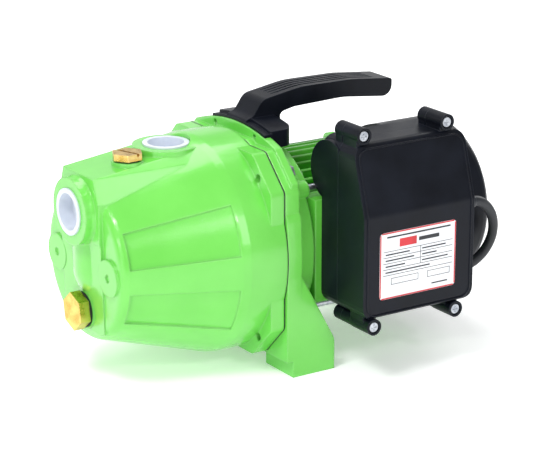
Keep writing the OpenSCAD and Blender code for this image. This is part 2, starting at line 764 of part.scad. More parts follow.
module tie_bolts() color(steel) for (p = tie_places) {
    rod(bracket_back + 3, rear_x + 6 - bracket_back - 3, tie_r - 0.05, p[0], p[1]);
    hex_rod(rear_x + 6, 4, 9, p[0], p[1]);
}

fan_x = rear_x + rear_shield_t + 6;

module fan() color(black) difference() {
    union() {
        disc(fan_x, 22, fan_shaft_r + 5);
        ring(fan_x, 2, cover_r - 16, fan_shaft_r + 1);
        for (i = [0:8]) on_shaft(fan_x + 1) rotate(i * 40)
            translate([fan_shaft_r + 3, -1, 0]) cube([cover_r - 20 - fan_shaft_r, 2, 19]);
    }
    disc(fan_x - 1, 24, fan_shaft_r + 0.02);
}

module fan_cover() color(black) difference() {
    union() {
        turned([
            [cover_r - 2.9, rear_x + 9, 0], [cover_r, rear_x + 9, 0],
            [cover_r, cover_end, 8], [cover_r - 14, cover_end, 0],
            [cover_r - 14, cover_end - 2.4, 0], [cover_r - 2.9, cover_end - 2.4, 5]
        ]);
        for (r = [14, 24, 34, 44]) ring(cover_end - 2.4, 2.4, r + 3, r - 1.5);
        for (i = [0:5]) on_shaft(cover_end - 2.2) rotate(i * 60) translate([9, -2, 0])
            cube([cover_r - 22, 4, 2]);
        disc(cover_end - 2.4, 2.4, 11);
    }
    for (a = [58, 122, 238, 302]) on_shaft(rear_x + 10) rotate(a) rotate([0, 90, 0])
        translate([0, 0, cover_r - 9]) cylinder(h = 20, r = 1.5, $fn = small);
}

module fan_cover_screws() color(steel)
    for (a = [58, 122, 238, 302]) on_shaft(rear_x + 10) rotate(a) rotate([0, 90, 0]) {
        translate([0, 0, cover_r]) cylinder(h = 1.6, r = 2.8, $fn = small);
        translate([0, 0, cover_r - 8]) cylinder(h = 8.2, r = 1.45, $fn = small);
    }

// ---- handle ----

handle_top = arc_top + 17;
grip_x = bracket_back + 19;

base_near = -39;
base_far = 32;
base_depth = 20;

module grip_outline() polygon(rounded([
    [bracket_back - 5, arc_top - 4, 0], [bracket_back - 5, arc_top + 2.5, 3],
    [bracket_back + 2, arc_top + 4.5, 8], [bracket_back + 10, handle_top - 1, 10],
    [grip_x + 25, handle_top + 4.6, 80], [grip_x + 70, handle_top + 4.2, 80],
    [grip_x + handle_reach + 7, handle_top + 0.4, 2],
    [grip_x + handle_reach + 7, handle_top - 13.5, 8],
    [grip_x + 62, handle_top - 8.2, 80], [grip_x + 18, handle_top - 9.6, 30],
    [bracket_back + 22, handle_top - 13, 4], [bracket_back + 27, arc_top - 2, 4],
    [bracket_back + 20, arc_top - 8, 0], [bracket_back - 2, arc_top - 8, 0]
], 6));

// The arc's outline carried up by lift, from end to end of the handle's base
function over_arc(lift) = [for (i = [0:12])
    let (y = base_near + (base_far - base_near) * i / 12) [y, arc_z(y) + lift]];

module handle() color(black) difference() {
    union() {
        sideways(-handle_width / 2, handle_width) grip_outline();
        intersection() {
            across(bracket_back, base_depth) polygon(concat(over_arc(4),
                [[base_far, arc_z(base_near) - 8.5], [base_near, arc_z(base_near) - 8.5]]));
            translate([0, 0, 100]) linear_extrude(100) polygon(rounded([
                [bracket_back, base_near, 2], [bracket_back + base_depth, base_near, 8],
                [bracket_back + base_depth, base_far, 8], [bracket_back, base_far, 2]
            ]));
        }
        across(bracket_back - 5, 8) polygon(concat(over_arc(2),
            [for (p = [12:-1:0]) over_arc(0)[p]]));
    }
    disc(bracket_back - 1, 40, motor_ring_r + 0.5);
    intersection() {
        across(bracket_back - 20, 20) arc_outline();
        translate([bracket_back - 20, -60, 0]) cube([20, 120, 300]);
    }
    for (y = [-6.9, -2.3, 2.3, 6.9]) sideways(y - 1, 2) polygon([
        [grip_x - 3, handle_top + 12], [grip_x + 2, handle_top + 0.6],
        [grip_x + 25, handle_top + 3.2], [grip_x + 70, handle_top + 2.8],
        [grip_x + handle_reach - 8, handle_top + 0.2], [grip_x + handle_reach, handle_top + 12]
    ]);
    for (y = [-handle_screw_y, handle_screw_y]) {
        rod(bracket_back - 1, 30, screw_r, y, handle_screw_z - shaft_height);
        rod(bracket_back + 12, 20, screw_r + 2.6, y, handle_screw_z - shaft_height);
    }
}

module handle_screws() color(steel) for (y = [-handle_screw_y, handle_screw_y]) {
    rod(arc_front + 2, bracket_back + 12.2 - arc_front - 2, screw_r - 0.02, y,
        handle_screw_z - shaft_height);
    rod(bracket_back + 12, 2.6, screw_r + 2, y, handle_screw_z - shaft_height);
}

// ---- terminal box ----

module box_profile(inset) polygon(rounded([
    [-seam_y, box_low + inset, 0], [-box_front + inset, box_low + inset, 5],
    [-box_front + inset, slope_z, 12], [-box_top_front + inset, box_high - inset, 5],
    [-seam_y, box_high - inset, 0]
]));

module cover_body(inset) intersection() {
    across(box_x0 + inset, box_length - 2 * inset) box_profile(inset);
    sideways(-box_front - 5, box_front) polygon(
        box_outline(box_x0 + inset, box_x1 - inset, box_low + inset, box_high - inset, 10 - inset));
}

module lug_web(x, z0, z1, y, t)
    translate([x - lug_r + 0.6, y, z0]) cube([2 * lug_r - 1.2, t, z1 - z0]);

module box_cover() color(black) difference() {
    union() {
        cover_body(0);
        for (x = lug_x) {
            peg(x, lug_high, lug_r, -box_top_front - 1, box_top_front + 1 - seam_y);
            lug_web(x, box_high - 3, lug_high, -box_top_front + 1, box_top_front - 1.5 - seam_y);
            peg(x, lug_low, lug_r, -box_front - 1, 22);
            lug_web(x, lug_low, box_low + 3, -box_front + 5, 16);
            peg(x, lug_low, lug_r - 0.3, -box_front + 10, box_front - 10 - seam_y);
        }
    }
    difference() {
        translate([0, 1, 0]) cover_body(box_wall);
        for (x = lug_x) for (z = [lug_high, lug_low])
            peg(x, z, lug_r, -box_front - 2, box_front);
    }
    for (x = lug_x) {
        peg(x, lug_high, screw_r + 0.2, -box_front - 2, 60);
        peg(x, lug_high, screw_r + 2.4, -box_top_front - 2, 4);
        peg(x, lug_low, screw_r + 0.2, -box_front - 2, 60);
        peg(x, lug_low, screw_r + 2.4, -box_front - 2, 4);
    }
}

module base_body(inset) {
    sideways(-seam_y, seam_y - pad_y - inset) polygon(
        box_outline(box_x0 + inset, box_x1 - inset, box_low + inset, box_high - inset, 10 - inset));
    intersection() {
        translate([box_x0 + inset, -bulge_y, bulge_z]) rotate([0, 90, 0])
            cylinder(h = box_length - 2 * inset, r = bulge_r - inset, $fn = fine);
        translate([0, -seam_y, 0]) cube([300, seam_y, 400]);
    }
}

module box_base() color(black) difference() {
    union() {
        base_body(0);
        for (x = lug_x) {
            peg(x, lug_low, lug_r - 0.3, -seam_y, 9);
            peg(x, lug_high, lug_r, -seam_y, 9);
            lug_web(x, box_high - 3, lug_high, -seam_y + 0.5, 8);
        }
    }
    difference() {
        translate([0, -0.01, 0]) base_body(box_wall);
        for (x = lug_x) for (z = [lug_high, lug_low]) peg(x, z, lug_r - 1, -seam_y - 1, 30);
    }
    for (x = lug_x) for (z = [lug_high, lug_low]) peg(x, z, screw_r, -seam_y - 1, 9);
    for (x = [box_x0 + 20, box_x1 - 20]) for (z = [pad_low + 14, pad_high - 14])
        peg(x, z, screw_r + 0.2, -pad_y - 4, 8);
    translate([box_x1 - 6, -gland_y, gland_z]) rotate([0, 90, 0])
        cylinder(h = 10, r = cord_r + 3, $fn = small);
}

module box_gasket() color([0.25, 0.26, 0.28]) difference() {
    sideways(-seam_y - 1.2, 2.4) polygon(
        box_outline(box_x0 + 2.9, box_x1 - 2.9, box_low + 2.9, box_high - 2.9, 7));
    sideways(-seam_y - 2, 4) polygon(
        box_outline(box_x0 + 4.4, box_x1 - 4.4, box_low + 4.4, box_high - 4.4, 6));
}

module cover_screws() color(steel) for (x = lug_x) {
    for (place = [[lug_high, box_top_front], [lug_low, box_front]]) {
        peg(x, place[0], screw_r - 0.02, -place[1], place[1] - seam_y + 8);
        difference() {
            peg(x, place[0], screw_r + 1.6, -place[1] - 0.4, 2.4);
            translate([x - 2.2, -place[1] - 1, place[0] - 0.4]) cube([4.4, 1.6, 0.8]);
            translate([x - 0.4, -place[1] - 1, place[0] - 2.2]) cube([0.8, 1.6, 4.4]);
        }
    }
}

module box_mounting_screws() color(steel)
    for (x = [box_x0 + 20, box_x1 - 20]) for (z = [pad_low + 14, pad_high - 14]) {
        peg(x, z, screw_r - 0.02, -pad_y - box_wall - 1, 13);
        peg(x, z, screw_r + 1.8, -pad_y - box_wall - 2.23, 2.2);
    }

module terminal_block() color([0.88, 0.86, 0.8]) difference() {
    translate([box_x0 + 28, -pad_y - box_wall - 16, pad_low + 32]) cube([42, 16, 16]);
    for (i = [0:3]) peg(box_x0 + 34 + i * 10, pad_low + 40, 2.2, -pad_y - box_wall - 17, 8);
}

module capacitor() color([0.8, 0.8, 0.82]) {
    capacitor_r = bulge_r - box_wall - 2;
    translate([box_x0 + 12, -bulge_y, bulge_z]) rotate([0, 90, 0])
        cylinder(h = box_length - 34, r = capacitor_r, $fn = fine);
    translate([box_x0 + box_wall, -bulge_y - 4, bulge_z - 4]) cube([10, 8, 8]);
}

module cable_gland() color(black) translate([box_x1, -gland_y, gland_z]) rotate([0, 90, 0])
    difference() {
        union() {
            cylinder(h = 5, r = 9.5, $fn = 6);
            translate([0, 0, -box_wall - 3]) cylinder(h = box_wall + 4, r = cord_r + 2.95, $fn = small);
            translate([0, 0, 5]) cylinder(h = gland_end - box_x1 - 5, r = 8, $fn = small);
        }
        translate([0, 0, -10]) cylinder(h = 40, r = cord_r, $fn = small);
    }

module strain_relief() color(black) translate([gland_end, -gland_y, gland_z]) rotate([0, 90, 0])
    difference() {
        cylinder(h = 22, r1 = 6.6, r2 = cord_r + 1, $fn = small);
        translate([0, 0, 20]) cylinder(h = 4, r = cord_r + 0.02, $fn = small);
    }

module rating_label() color(white) sideways(-box_front - 0.25, 0.25) polygon(
    box_outline(box_x0 + 13.5, box_x0 + 80.5, shaft_height - 24.5, shaft_height + 25, 3));

// ---- power cord ----

coil_centre = [60, 128];
coil_r = 43;
coil_half = 2 * cord_r;
outer_turn_r = coil_r + cord_r;

// Centre line from the strain relief to the coil: an open loop back behind the
// box, then down under the motor and along the floor
cord_route = [
    [138.5, -83, 108.5], [143.5, -82.6, 108.1], [148.5, -82, 106.3], [153.5, -81, 103.1],
    [158.3, -79.7, 98.6], [162.3, -78.2, 93.3], [165.2, -76.6, 87.3], [166.8, -75, 80.8],
    [166.9, -73.4, 74.2], [165.3, -71.8, 67.8], [162.3, -70.2, 61.9], [158, -68.6, 57],
    [152.7, -67, 53.2], [146.6, -65, 50.7], [140, -62.4, 49.1], [131.5, -58, 47],
    [123.5, -51.5, 43.4], [116.5, -43, 37.6], [111, -32, 29.8], [108, -20, 21.4],
    [106.6, -7.5, 13.4], [106.2, 5.5, 7.7], [106.2, 19.5, 4.6], [106.4, 34, 3.8],
    [106.6, 52, 3.8], [106.7, 75, 3.8], [106.8, 100, 3.8], [106.8, 127.5, 3.8]
];

module power_cord() color(black) tube(cord_route, cord_r, 10);

module cord_coil() color(black) translate([coil_centre[0], coil_centre[1], 0])
    rotate_extrude($fn = fine)
        polygon(box_outline(coil_r - coil_half, coil_r + coil_half, 0, 2 * coil_half, cord_r));

module cord_tie() color(black) translate([coil_centre[0] - coil_r, coil_centre[1], 0])
    difference() {
        translate([-coil_half - 1.2, -2.5, 0.2]) cube([2 * coil_half + 2.4, 5, 2 * coil_half + 1]);
        translate([-coil_half, -4, -1]) cube([2 * coil_half, 8, 2 * coil_half + 1]);
    }

plug_x = coil_centre[0] - 14;
plug_y = coil_centre[1] + outer_turn_r;
plug_half = 18;
plug_sleeve = 24;
plug_body = 36;
pin_spacing = 19;

module mains_plug() color(black) translate([plug_x, plug_y, 0]) {
    translate([0, 0, coil_half * 1.5]) rotate([0, -90, 0])
        cylinder(h = plug_sleeve, r1 = cord_r + 1.2, r2 = cord_r + 3.4, $fn = small);
    linear_extrude(3 * coil_half) polygon(rounded([
        [-plug_sleeve + 2, -8, 3], [-plug_sleeve - 8, -plug_half, 8],
        [-plug_sleeve - plug_body, -plug_half, 3], [-plug_sleeve - plug_body, plug_half, 3],
        [-plug_sleeve - 8, plug_half, 8], [-plug_sleeve + 2, 8, 3]
    ]));
    for (side = [-1, 1]) translate([-plug_sleeve - plug_body + 1, side * pin_spacing / 2,
                                    coil_half * 1.5])
        rotate([0, -90, 0]) cylinder(h = 20, r = 2.4, $fn = small);
}

pump_casing();
suction_cap();
discharge_cap();
filling_plug();
filling_plug_seal();
drain_plug();
drain_plug_seal();
casing_gasket();
nozzle();
venturi_tube();
venturi_seal();
diffuser();
impeller();
impeller_nut();
impeller_key();
seal_seat();
seal_ring();
seal_spring();
bracket();
casing_bolts();
slinger();
shaft();
rotor_core();
bearing_outer_rings();
bearing_inner_rings();
bearing_balls();
preload_washer();
motor_housing();
stator_core();
windings();
rear_shield();
tie_bolts();
fan();
fan_cover();
fan_cover_screws();
handle();
handle_screws();
box_base();
box_gasket();
box_cover();
cover_screws();
box_mounting_screws();
terminal_block();
capacitor();
cable_gland();
strain_relief();
rating_label();
power_cord();
cord_coil();
cord_tie();
mains_plug();
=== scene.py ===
"""Shallow well jet pump: enamelled iron casting, bracket and motor, black mouldings, mains lead."""
import math

import bpy
import numpy as np
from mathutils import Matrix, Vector


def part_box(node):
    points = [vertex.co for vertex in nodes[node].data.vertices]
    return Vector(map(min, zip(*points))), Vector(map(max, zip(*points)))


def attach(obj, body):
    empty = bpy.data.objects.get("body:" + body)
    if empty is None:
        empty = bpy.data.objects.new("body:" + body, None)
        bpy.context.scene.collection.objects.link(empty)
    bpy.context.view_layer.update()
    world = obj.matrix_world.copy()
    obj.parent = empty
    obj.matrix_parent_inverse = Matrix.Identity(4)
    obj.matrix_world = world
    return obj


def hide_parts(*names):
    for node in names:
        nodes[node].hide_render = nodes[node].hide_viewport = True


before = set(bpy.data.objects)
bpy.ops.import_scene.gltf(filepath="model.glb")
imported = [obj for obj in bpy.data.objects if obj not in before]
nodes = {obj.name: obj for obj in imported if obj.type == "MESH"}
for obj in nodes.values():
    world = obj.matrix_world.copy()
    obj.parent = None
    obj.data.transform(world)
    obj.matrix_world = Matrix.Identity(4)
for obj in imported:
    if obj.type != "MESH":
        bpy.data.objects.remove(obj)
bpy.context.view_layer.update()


# ---- Studio ----
# A pale floor that runs up into a pale surround, one large softbox high on the
# left, a strip on the right for the edges, and a long lens from the front left.

def linear(hex_text, alpha=1.0):
    """Colour from an sRGB hex text: each channel through the law that undoes the sRGB curve."""
    channels = [int(hex_text[i:i + 2], 16) / 255 for i in (0, 2, 4)]
    return [c / 12.92 if c < 0.04045 else ((c + 0.055) / 1.055) ** 2.4 for c in channels] + [alpha]


def softbox(name, place, aim, size, watts, tint="FFFFFF"):
    lamp = bpy.data.lights.new(name, "AREA")
    lamp.shape = "RECTANGLE"
    lamp.size, lamp.size_y = size
    lamp.energy = watts
    lamp.color = linear(tint)[:3]
    holder = bpy.data.objects.new(name, lamp)
    holder.location = place
    holder.rotation_euler = (Vector(aim) - Vector(place)).to_track_quat("-Z", "Y").to_euler()
    bpy.context.scene.collection.objects.link(holder)
    return holder


lens = bpy.data.cameras.new("camera")
lens.sensor_width = 36.0
lens.lens = 141.5
lens.clip_start = 0.05
camera = bpy.data.objects.new("camera", lens)
camera.location = (-0.8253, -1.2965, 0.5719)
aim_point = Vector((0.01835, 0.0, 0.08872))
camera.rotation_euler = (aim_point - camera.location).to_track_quat("-Z", "Y").to_euler()
bpy.context.scene.collection.objects.link(camera)
bpy.context.scene.camera = camera

softbox("key_softbox", (-0.75, -0.35, 1.15), (-0.05, 0, 0.1), (0.42, 0.34), 8.5)
softbox("front_softbox", (0.35, -1.7, 0.75), (0.02, 0, 0.08), (0.35, 0.9), 4.6)
softbox("glint_softbox", (-0.04, -1.4, 1.0), (-0.09, -0.07, 0.1), (0.16, 0.16), 3.5)
softbox("low_left_softbox", (-1.5, -0.5, 0.35), (-0.1, 0, 0.1), (0.25, 0.8), 3.5)
softbox("top_softbox", (0.1, 0.5, 1.4), (0, 0.1, 0.0), (1.2, 0.8), 11)
softbox("rear_strip", (1.1, 0.4, 0.7), (0.05, 0, 0.1), (0.2, 1.0), 5)

world = bpy.data.worlds.new("surround")
bpy.context.scene.world = world
world.use_nodes = True
world.node_tree.nodes["Background"].inputs["Color"].default_value = linear("FAFBFC")
world.node_tree.nodes["Background"].inputs["Strength"].default_value = 0.42
bpy.context.scene.view_settings.view_transform = "Standard"


def surface(name, material, u_count, v_count, place):
    """A grid of u_count by v_count points: place(u, v) gives x, y, z for u and v from 0 to 1."""
    u, v = np.meshgrid(np.linspace(0, 1, u_count), np.linspace(0, 1, v_count), indexing="ij")
    points = np.stack(place(u, v), axis=-1).reshape(-1, 3)
    corner = (np.arange(u_count - 1)[:, None] * v_count + np.arange(v_count - 1)[None, :]).ravel()
    faces = np.stack([corner, corner + v_count, corner + v_count + 1, corner + 1], axis=1)
    mesh = bpy.data.meshes.new(name)
    mesh.from_pydata(points.tolist(), [], faces.tolist())
    mesh.shade_smooth()
    mesh.materials.append(material)
    piece = bpy.data.objects.new(name, mesh)
    bpy.context.scene.collection.objects.link(piece)
    return piece


def new_material(name):
    material = bpy.data.materials.new(name)
    material.use_nodes = True
    return material, material.node_tree.nodes["Principled BSDF"]


def feed(material, socket, value):
    """Links an output to the socket, or sets the socket to a plain value."""
    if isinstance(value, bpy.types.NodeSocket):
        material.node_tree.links.new(value, socket)
    else:
        socket.default_value = value


def add(material, kind, inputs=None, **settings):
    """Adds one node: settings are its own properties, inputs are values or sockets by name."""
    node = material.node_tree.nodes.new(kind)
    for key, value in settings.items():
        setattr(node, key, value)
    for key, value in (inputs or {}).items():
        feed(material, node.inputs[key], value)
    return node


def mixed(material, factor, first, second):
    """The colour output of a mix from first, where factor is 0, to second, where it is 1."""
    mix_factor, colour_a, colour_b, colour_out = 0, 6, 7, 2
    node = add(material, "ShaderNodeMix", data_type="RGBA")
    feed(material, node.inputs[mix_factor], factor)
    feed(material, node.inputs[colour_a], first)
    feed(material, node.inputs[colour_b], second)
    return node.outputs[colour_out]


# Matt seamless paper: a faint fibre mottle
paper, shader = new_material("seamless_paper")
shader.inputs["Roughness"].default_value = 0.9
place = add(paper, "ShaderNodeTexCoord")
fibre = add(paper, "ShaderNodeTexNoise", {"Vector": place.outputs["Object"], "Scale": 120.0})
tint = mixed(paper, fibre.outputs["Fac"], linear("FBFCFD"), linear("FFFFFF"))
feed(paper, shader.inputs["Base Color"], tint)
shader.inputs["Emission Color"].default_value = linear("FFFFFF")
shader.inputs["Emission Strength"].default_value = 0.3


def sweep_up(u, v):
    """Flat floor that curves up behind the object: y runs back, then z rises as the square."""
    x = (u - 0.5) * 12
    y = -4 + 8 * v
    z = np.where(y > 2.0, (y - 2.0) ** 2 * 0.6, 0.0)
    return x, y, z


surface("paper_sweep", paper, 12, 60, sweep_up)


# ---- Mains lead ----
# Round rubber-sheathed lead, 7.6 mm, out of the strain relief at the terminal box,
# down behind the motor and wound into a tied coil of just over three turns.

cord_radius = 0.0038
coil_centre = (0.060, 0.128)
outer_turn = 0.0468
inner_turn = 0.0392
lead_down = np.array([
    [138.5, -83, 108.5], [143.5, -82.6, 108.1], [148.5, -82, 106.3], [153.5, -81, 103.1],
    [158.3, -79.7, 98.6], [162.3, -78.2, 93.3], [165.2, -76.6, 87.3], [166.8, -75, 80.8],
    [166.9, -73.4, 74.2], [165.3, -71.8, 67.8], [162.3, -70.2, 61.9], [158, -68.6, 57],
    [152.7, -67, 53.2], [146.6, -65, 50.7], [140, -62.4, 49.1], [131.5, -58, 47],
    [123.5, -51.5, 43.4], [116.5, -43, 37.6], [111, -32, 29.8], [108, -20, 21.4],
    [106.6, -7.5, 13.4], [106.2, 5.5, 7.7], [106.2, 19.5, 4.6], [106.4, 34, 3.8],
    [106.6, 52, 3.8], [106.7, 75, 3.8], [106.8, 100, 3.8]]) / 1000


def smooth_through(points, steps):
    """Catmull-Rom curve: cubics between points, whose slopes are half the gap either side."""
    padded = np.vstack([2 * points[:1] - points[1:2], points, 2 * points[-1:] - points[-2:-1]])
    a, b, c, d = padded[:-3], padded[1:-2], padded[2:-1], padded[3:]
    t = np.linspace(0, 1, steps, endpoint=False)[:, None, None]
    curve = 0.5 * (2 * b + (c - a) * t + (2 * a - 5 * b + 4 * c - d) * t ** 2
                   + (3 * b - a - 3 * c + d) * t ** 3)
    return np.vstack([curve.transpose(1, 0, 2).reshape(-1, 3), points[-1:]])


def ease(value, start, end):
    """Half a cosine wave from 0 at start to 1 at end."""
    return 0.5 - 0.5 * np.cos(math.pi * np.clip((value - start) / (end - start), 0, 1))


coil_degrees = 1170
turned = np.linspace(0, coil_degrees, 170)
coil_r = outer_turn - (outer_turn - inner_turn) * (ease(turned, 300, 355) - ease(turned, 910, 965))
coil = np.stack([coil_centre[0] + coil_r * np.cos(np.radians(turned)),
                 coil_centre[1] + coil_r * np.sin(np.radians(turned)),
                 cord_radius + 2 * cord_radius * ease(turned, 605, 655)], axis=1)
into_plug = np.array([[0.053, coil_centre[1] + outer_turn, 0.0114],
                      [0.044, coil_centre[1] + outer_turn, 0.0114]])
centreline = np.vstack([smooth_through(np.vstack([lead_down, coil[:1]]), 5)[:-1], coil, into_plug])


def tube(name, points, radius, round_steps, closed=False):
    """A curve of one spline straight from point to point, with a round section of that radius."""
    curve = bpy.data.curves.new(name, "CURVE")
    curve.dimensions = "3D"
    curve.bevel_depth = radius
    curve.bevel_resolution = round_steps
    curve.use_fill_caps = not closed
    line = curve.splines.new("POLY")
    line.points.add(len(points) - 1)
    line.points.foreach_set("co", np.hstack([points, np.ones((len(points), 1))]).ravel())
    line.use_cyclic_u = closed
    piece = bpy.data.objects.new(name, curve)
    bpy.context.scene.collection.objects.link(piece)
    return piece


mains_lead = tube("mains_lead", centreline, cord_radius, 6)


def finish(name, light, dark, rough, grain, depth, edge, edge_wear_and_highlight=None, patch=0.025, metal=0.0):
    """Two shades in patches, roughness that drifts between the two values of rough, a grain bump.
    grain, depth, edge and patch are in metres; edges are softened over edge, and their colour is
    drawn towards the edge colour: part wear, part painted highlight."""
    material, shader = new_material(name)
    place = add(material, "ShaderNodeTexCoord")
    drift = add(material, "ShaderNodeTexNoise", {"Vector": place.outputs["Object"],
                                                 "Scale": 1 / patch, "Detail": 4.0})
    fleck = add(material, "ShaderNodeTexNoise", {"Vector": place.outputs["Object"],
                                                 "Scale": 1 / grain, "Detail": 3.0})
    shade = add(material, "ShaderNodeMapRange", {"Value": drift.outputs["Fac"], "From Min": 0.35,
                                                 "From Max": 0.65})
    colour = mixed(material, shade.outputs["Result"], linear(dark), linear(light))
    soft = add(material, "ShaderNodeBevel", {"Radius": edge}, samples=6)
    sharp = add(material, "ShaderNodeNewGeometry")
    turn = add(material, "ShaderNodeVectorMath",
               {0: soft.outputs["Normal"], 1: sharp.outputs["Normal"]}, operation="DOT_PRODUCT")
    # At the edges the colour turns towards the edge colour: part wear, part painted highlight.
    at_edge = add(material, "ShaderNodeMapRange", {"Value": turn.outputs["Value"], "From Min": 0.99,
                                                   "From Max": 0.86, "To Max": 0.4})
    worn_and_highlit_colour = mixed(material, at_edge.outputs["Result"], colour, linear(edge_wear_and_highlight or light))
    gloss = add(material, "ShaderNodeMapRange", {"Value": drift.outputs["Fac"], "From Min": 0.3,
                                                 "From Max": 0.7, "To Min": rough[0],
                                                 "To Max": rough[1]})
    bump = add(material, "ShaderNodeBump", {"Height": fleck.outputs["Fac"], "Distance": depth,
                                            "Normal": soft.outputs["Normal"]})
    feed(material, shader.inputs["Base Color"], worn_and_highlit_colour)
    feed(material, shader.inputs["Roughness"], gloss.outputs["Result"])
    feed(material, shader.inputs["Normal"], bump.outputs["Normal"])
    shader.inputs["Metallic"].default_value = metal
    return material, shader


def over_bump(material, shader, height, distance, strength=1.0):
    """Lays another bump over the one that already feeds the shader's normal."""
    first = shader.inputs["Normal"].links[0].from_socket
    top = add(material, "ShaderNodeBump", {"Height": height, "Distance": distance,
                                           "Strength": strength, "Normal": first})
    feed(material, shader.inputs["Normal"], top.outputs["Normal"])


def dress(material, *names):
    """Puts one material on every slot of the named nodes."""
    for name in names:
        for slot in nodes[name].material_slots:
            slot.material = material


# Extruded rubber sheath: fine matt grain, faintly dusty
sheath, _ = finish("rubber_sheath", "20242B", "14171C", (0.42, 0.6), 0.0006, 0.00008, 0.0004,
                   edge_wear_and_highlight="343A44")
mains_lead.data.materials.append(sheath)
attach(mains_lead, "frame")
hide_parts("power_cord", "cord_coil")

# Moulded on the lead in soft PVC: eggshell surface
soft_pvc, _ = finish("moulded_pvc", "24282F", "181B20", (0.34, 0.5), 0.0005, 0.00006, 0.001,
                     edge_wear_and_highlight="3C434E")
dress(soft_pvc, "mains_plug", "strain_relief", "cord_tie")


# ---- Pump casing and bracket ----
# Grey iron castings, sprayed with thick gloss enamel over a sand-cast skin: orange peel,
# rounded arrises drawn towards a paler green, part wear and part painted highlight.

def enamel_coat(name, light, dark, pale):
    """Enamel: the two-shade finish with a long soft sand-cast swell under it and a clear skin."""
    # pale is the edge colour: part wear, part painted highlight.
    material, shader = finish(name, light, dark, (0.18, 0.26), 0.0009, 0.00007, 0.0020,
                              edge_wear_and_highlight=pale, patch=0.035)
    place = add(material, "ShaderNodeTexCoord")
    swell = add(material, "ShaderNodeTexNoise", {"Vector": place.outputs["Object"], "Scale": 160.0,
                                                 "Detail": 2.0})
    over_bump(material, shader, swell.outputs["Fac"], 0.00015, 0.6)
    shader.inputs["Coat Weight"].default_value = 0.5
    shader.inputs["Coat Roughness"].default_value = 0.08
    return material


# Gloss lime enamel on sand-cast iron
casting_enamel = enamel_coat("casting_enamel", "71D254", "6BCC4E", "93E67B")
dress(casting_enamel, "pump_casing", "bracket")


# ---- Motor shell ----
# Die-cast aluminium housing and rear shield in the same enamel, its colours a little darker than
# the casting's as painted shade.

# Gloss lime enamel on smooth die-cast aluminium, darkened as painted shade
motor_enamel = enamel_coat("motor_enamel", "68CC48", "62C642", "8BE072")
dress(motor_enamel, "motor_housing", "rear_shield")


# ---- Black mouldings ----
# Handle, fan cover, terminal box and its lid: glass-filled plastic, spark-eroded
# mould texture, bluish black, with edges drawn lighter and bluer: part wear, part painted
# reflection.

# Injection-moulded, satin, fine eroded grain
satin_black, shader = finish("satin_black_moulding", "10141E", "0B0E16", (0.3, 0.4), 0.0007,
                             0.00006, 0.0009, edge_wear_and_highlight="262E3C")
shader.inputs["Specular IOR Level"].default_value = 0.18
dress(satin_black, "handle", "fan_cover", "box_base", "box_cover")

# Moulded bead round the lid's face, half sunk: it follows the rounded outline, upright
# below the knee and sloping back above it.
lid_low, lid_high = np.array([0.0145, 0.0530]), np.array([0.1055, 0.1725])
knee_z, face_y, top_y, corner = 0.1265, -0.1250, -0.1100, 0.008
quarter = np.radians(np.linspace(0, 90, 7)[None, :] + np.array([180, 270, 0, 90])[:, None])
corner_x = np.array([lid_low[0] + corner, lid_high[0] - corner, lid_high[0] - corner,
                     lid_low[0] + corner])[:, None]
corner_z = np.array([lid_low[1] + corner, lid_low[1] + corner, lid_high[1] - corner,
                     lid_high[1] - corner])[:, None]
bead_x = corner_x + corner * np.cos(quarter)
bead_z = corner_z + corner * np.sin(quarter)
outline = np.vstack([np.stack([bead_x[:2].ravel(), bead_z[:2].ravel()], axis=1),
                     [[lid_high[0], knee_z]],
                     np.stack([bead_x[2:].ravel(), bead_z[2:].ravel()], axis=1),
                     [[lid_low[0], knee_z]]])
bead_y = np.interp(outline[:, 1], [knee_z, 0.176], [face_y, top_y])
bead_radius = 0.0007
lid_bead = tube("lid_bead", np.stack([outline[:, 0], bead_y, outline[:, 1]], axis=1),
                bead_radius, 3, closed=True)
lid_bead.data.materials.append(satin_black)
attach(lid_bead, "frame")

# Nylon gland, matt and darker
gland_nylon, _ = finish("gland_nylon", "16181D", "0E1013", (0.35, 0.5), 0.0005, 0.00005, 0.0006,
                        edge_wear_and_highlight="2A2F37")
dress(gland_nylon, "cable_gland")

# Fan and ejector parts: dark glass-filled plastic
glass_filled, _ = finish("glass_filled_plastic", "2A2D33", "1D2025", (0.4, 0.58), 0.0006, 0.00008,
                         0.0005, edge_wear_and_highlight="3B3F47")
dress(glass_filled, "fan", "nozzle", "venturi_tube")


# ---- Port caps ----
# Milky polyethylene transit caps pushed into the ports, with a soft glow in thin walls.

# Blow-soft polyethylene: waxy, slightly translucent
milky_cap, shader = finish("milky_polyethylene", "DCE2EB", "CDD4E0", (0.28, 0.4), 0.0011, 0.00007,
                           0.0006, edge_wear_and_highlight="F6F9FC")
shader.inputs["Subsurface Weight"].default_value = 0.15
shader.inputs["Subsurface Radius"].default_value = (0.0030, 0.0032, 0.0036)
shader.inputs["Subsurface Scale"].default_value = 1.0
dress(milky_cap, "suction_cap", "discharge_cap")


# ---- Brass plugs ----
# Turned hexagon brass, bright facing marks on the heads, dulled by handling.

wave_per_metre = 0.314


